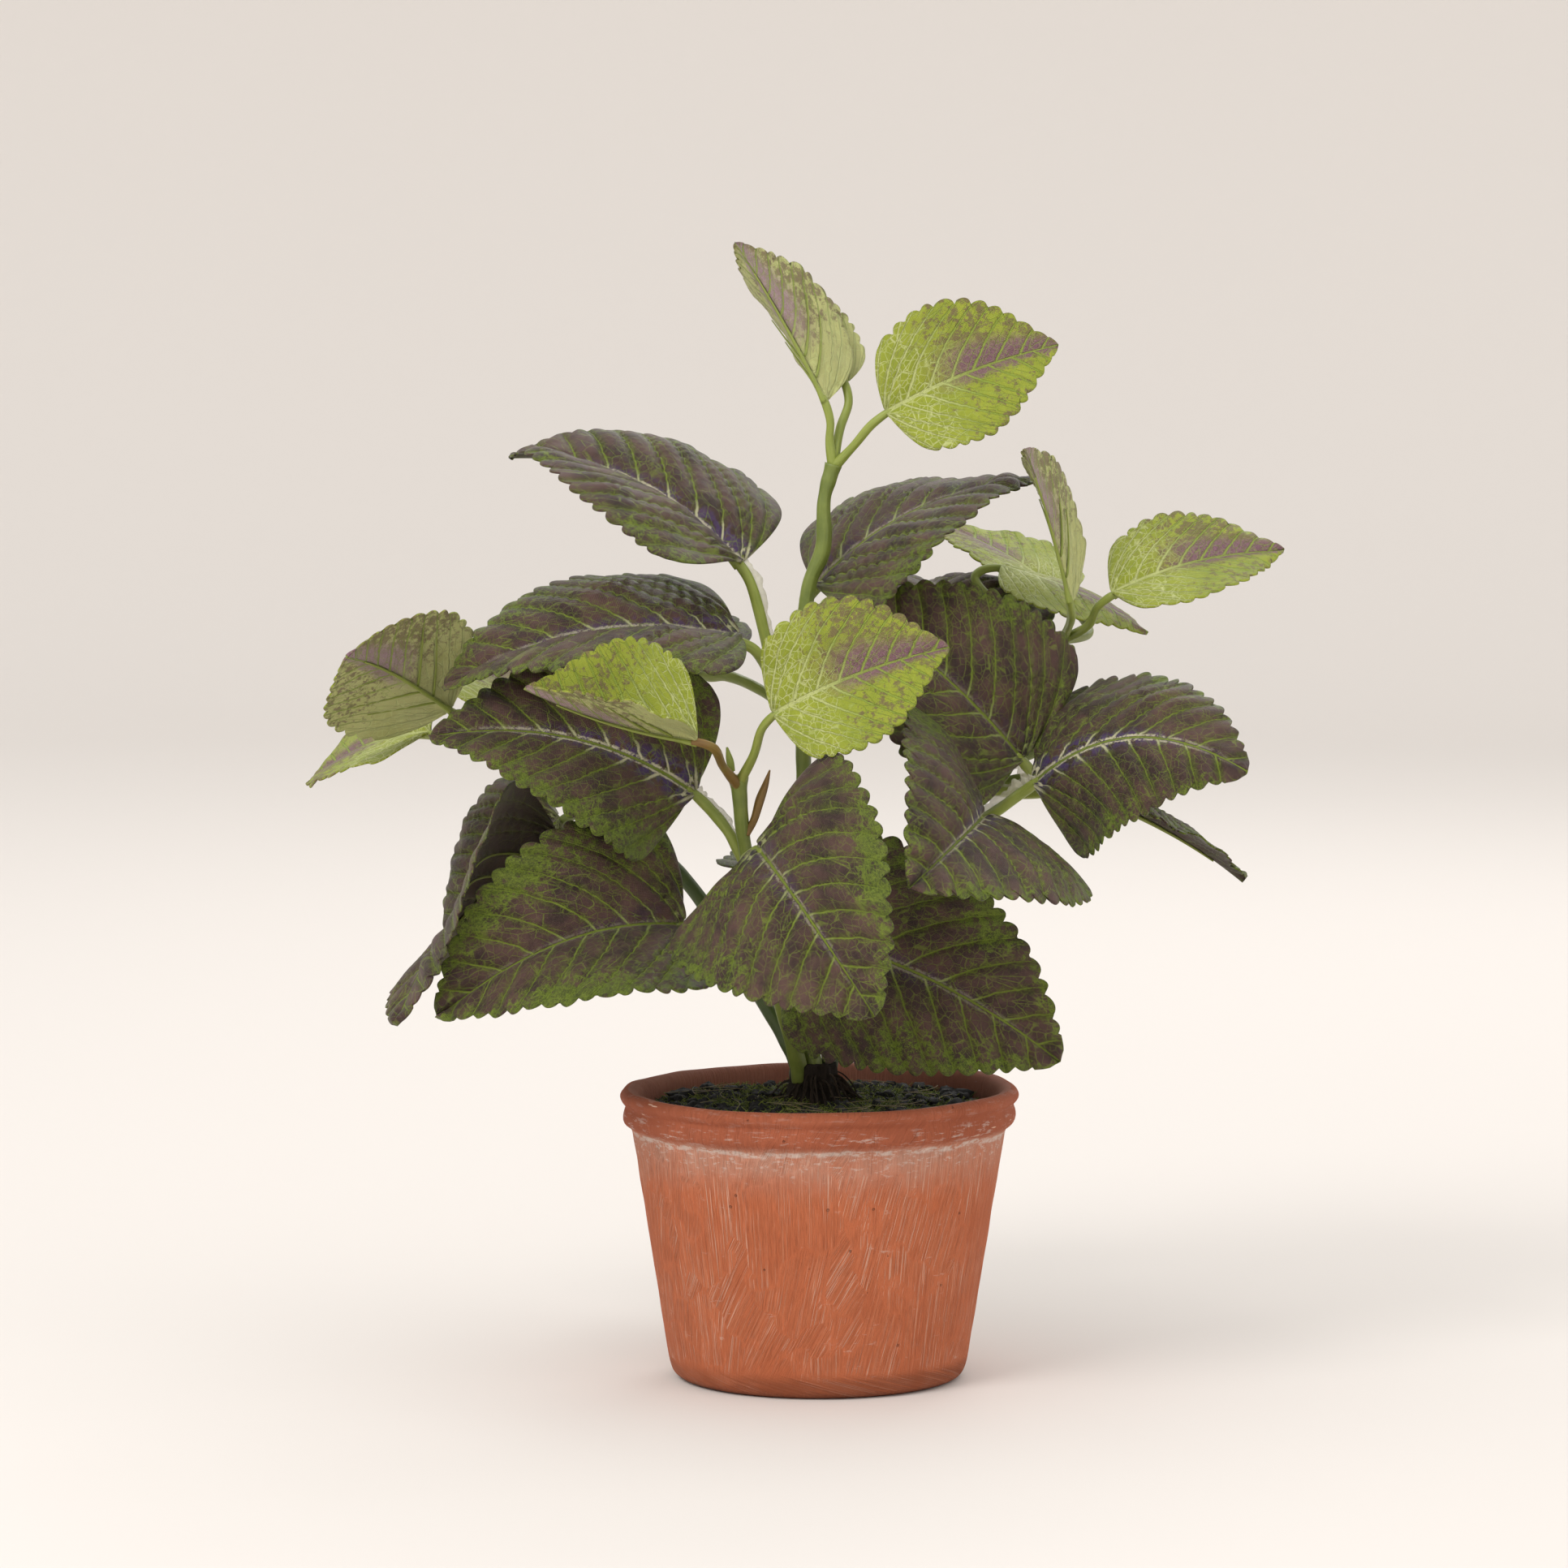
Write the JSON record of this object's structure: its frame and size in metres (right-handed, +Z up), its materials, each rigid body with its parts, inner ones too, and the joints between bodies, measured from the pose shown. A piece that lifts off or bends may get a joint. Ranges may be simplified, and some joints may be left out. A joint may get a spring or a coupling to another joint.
{
  "type": "potted perilla",
  "caption": "Leafy herb with dark quilted leaves and lime young leaves on branching stems, in a tapered clay pot of soil; a decorative artificial plant.",
  "frame": {"origin": "centre of the pot's flat underside, on the surface it stands on", "axes": "+Z up along the pot's axis; -Y is the front seen in the picture; +X to the viewer's right; the foliage is widest along X"},
  "size_m": [0.2831, 0.1993, 0.3267],
  "materials": {
    "clay": "unglazed terracotta with brush marks and pale lime bloom",
    "soil": "dark loose granules with moss",
    "bark": "fibrous brown bark",
    "stem": "moulded, satin, olive green",
    "bud": "moulded, satin, yellow green",
    "leaf_dark": "printed woven fabric, brown purple with green veins and margin",
    "leaf_lime": "printed woven fabric, lime with a mauve midrib patch"
  },
  "bodies": {
    "root": {"pot": "clay", "soil": "soil", "trunk": "bark", "main_stem": "stem", "left_front_stem": "stem", "left_back_stem": "stem", "right_stem": "stem", "bud_front": "bud", "bud_front_right": "bud", "bud_left": "bud", "leaf_top_left": "leaf_lime", "leaf_top_right": "leaf_lime", "leaf_top_back": "leaf_lime", "leaf_left_upper": "leaf_dark", "leaf_left_middle": "leaf_dark", "leaf_front_lime": "leaf_lime", "leaf_left_boat": "leaf_lime", "leaf_far_left": "leaf_lime", "leaf_far_left_back": "leaf_lime", "leaf_left_front": "leaf_dark", "leaf_left_low": "leaf_dark", "leaf_left_hanging": "leaf_dark", "leaf_left_back": "leaf_dark", "leaf_front_centre": "leaf_dark", "leaf_front_low": "leaf_dark", "leaf_right_front": "leaf_dark", "leaf_right": "leaf_dark", "leaf_right_back": "leaf_dark", "leaf_right_upper": "leaf_dark", "leaf_upper_right": "leaf_dark", "leaf_right_folded": "leaf_lime", "leaf_right_lime": "leaf_lime", "leaf_right_lime_back": "leaf_lime", "leaf_right_lime_low": "leaf_lime", "leaf_back_upper": "leaf_dark", "leaf_back_low": "leaf_dark", "leaf_back_left_low": "leaf_dark", "leaf_back_left_upper": "leaf_dark", "leaf_back_right": "leaf_dark", "leaf_back_left_lime": "leaf_lime"}
  },
  "joints": []
}
